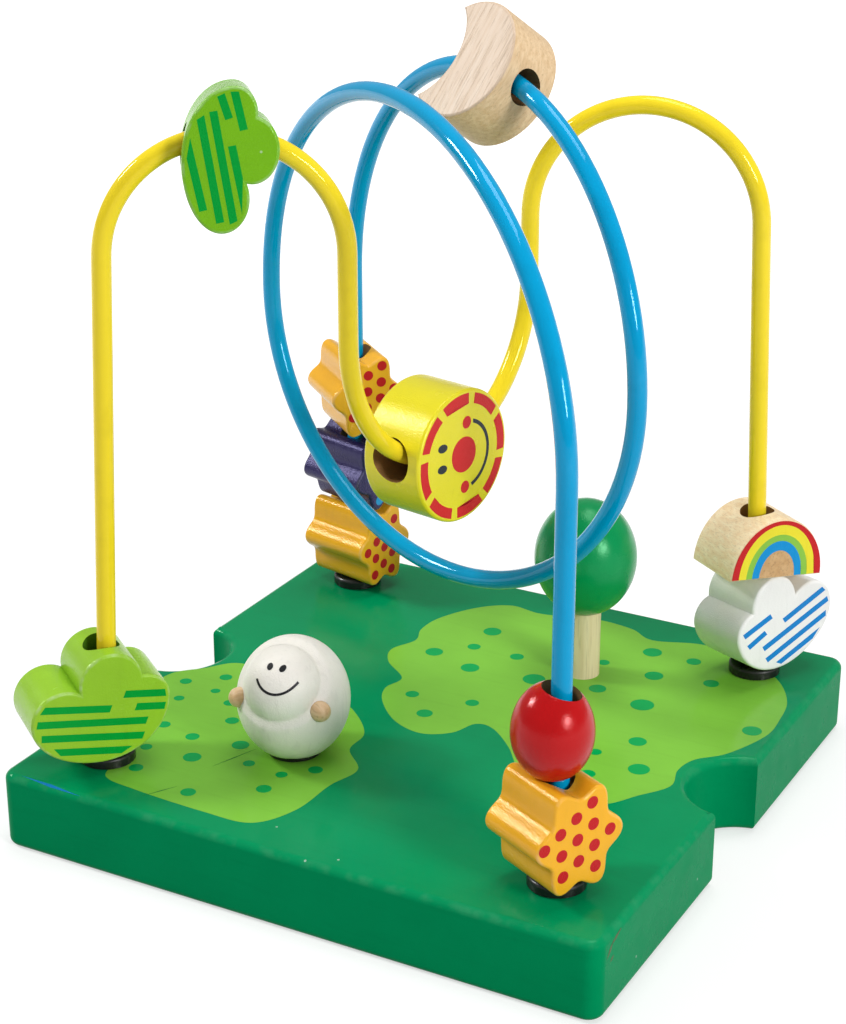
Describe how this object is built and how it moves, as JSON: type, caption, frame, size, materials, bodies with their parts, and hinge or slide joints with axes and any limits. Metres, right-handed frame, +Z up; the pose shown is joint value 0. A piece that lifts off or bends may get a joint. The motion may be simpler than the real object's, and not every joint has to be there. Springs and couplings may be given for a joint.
{
  "type": "wooden bead maze",
  "caption": "Tabletop wooden bead maze: bent coated wires over a square green board carry painted sliding beads, beside a small tree and a round figure that turns on a pin.",
  "frame": {"origin": "centre of the board's underside, where the toy rests", "axes": "+X to the right along the board's front edge, +Y towards its back edge, +Z up"},
  "size_m": [0.16, 0.164, 0.1955],
  "materials": {
    "board_green": "gloss green paint with a printed meadow",
    "collar_black": "black moulded plastic",
    "yellow_coat": "yellow powder coat on steel wire",
    "blue_coat": "blue powder coat on steel wire",
    "cloud_green": "light green paint with darker printed stripes",
    "sun_yellow": "yellow paint with a printed sun face",
    "bare_wood": "clear lacquer on pale hardwood",
    "cloud_white": "white paint with printed blue stripes",
    "star_orange": "orange paint with printed red dots",
    "night_blue": "dark blue paint with printed light blue dots",
    "apple_red": "gloss red paint",
    "leaf_green": "gloss green paint",
    "figure_white": "white paint with a printed smile"
  },
  "bodies": {
    "maze_frame": {"base_board": "board_green", "ferrule_front_left": "collar_black", "ferrule_front_right": "collar_black", "ferrule_rear_left": "collar_black", "ferrule_rear_right": "collar_black", "yellow_wire": "yellow_coat", "blue_wire": "blue_coat", "tree_trunk": "bare_wood", "tree_crown": "leaf_green", "figure_pin": "bare_wood", "figure_washer": "collar_black"},
    "low_cloud": {"green_cloud_low": "cloud_green"},
    "high_cloud": {"green_cloud_high": "cloud_green"},
    "sun": {"sun_bead": "sun_yellow"},
    "white_cloud": {"white_cloud_bead": "cloud_white"},
    "rainbow": {"rainbow_bead": "bare_wood"},
    "front_star": {"star_bead_front": "star_orange"},
    "apple": {"apple_bead": "apple_red"},
    "rear_star_low": {"star_bead_rear_low": "star_orange"},
    "night_star": {"night_star_bead": "night_blue"},
    "rear_star_high": {"star_bead_rear_high": "star_orange"},
    "moon": {"moon_bead": "bare_wood"},
    "figure": {"figure_body": "figure_white", "figure_head": "figure_white", "figure_hand_left": "bare_wood", "figure_hand_right": "bare_wood"}
  },
  "joints": [
    {"name": "low_cloud_slide", "type": "slide", "parent": "maze_frame", "child": "low_cloud", "axis": [0.0332, 0.0237, 0.9992], "range_m": [0, 0.09]},
    {"name": "high_cloud_glide", "type": "hinge", "parent": "maze_frame", "child": "high_cloud", "pos_m": [-0.03429, -0.04193, 0.1459], "axis": [-0.5811, 0.8138, 0], "range_deg": [-60, 55]},
    {"name": "sun_glide", "type": "hinge", "parent": "maze_frame", "child": "sun", "pos_m": [-0.0063, 0.01075, 0.124], "axis": [0.9893, -0.1462, 0], "range_deg": [-45, 45]},
    {"name": "white_cloud_slide", "type": "slide", "parent": "maze_frame", "child": "white_cloud", "axis": [-0.0399, -0.0088, 0.9992], "range_m": [0, 0.035]},
    {"name": "rainbow_slide", "type": "slide", "parent": "white_cloud", "child": "rainbow", "axis": [-0.0399, -0.0088, 0.9992], "range_m": [0, 0.038]},
    {"name": "front_star_slide", "type": "slide", "parent": "maze_frame", "child": "front_star", "axis": [0, 0, 1], "range_m": [0, 0.015]},
    {"name": "apple_slide", "type": "slide", "parent": "front_star", "child": "apple", "axis": [0, 0, 1], "range_m": [0, 0.027]},
    {"name": "rear_star_low_slide", "type": "slide", "parent": "maze_frame", "child": "rear_star_low", "axis": [0, 0, 1], "range_m": [0, 0.005]},
    {"name": "night_star_slide", "type": "slide", "parent": "rear_star_low", "child": "night_star", "axis": [0, 0, 1], "range_m": [0, 0.006]},
    {"name": "rear_star_high_slide", "type": "slide", "parent": "night_star", "child": "rear_star_high", "axis": [0, 0, 1], "range_m": [0, 0.008]},
    {"name": "moon_glide", "type": "hinge", "parent": "maze_frame", "child": "moon", "pos_m": [-0.00405, 0.0273, 0.1136], "axis": [0.5093, 0.8606, 0], "range_deg": [-50, 45]},
    {"name": "figure_spin", "type": "hinge", "parent": "maze_frame", "child": "figure", "pos_m": [-0.0227, -0.0358, 0.02], "axis": [0, 0, 1], "continuous": true}
  ]
}
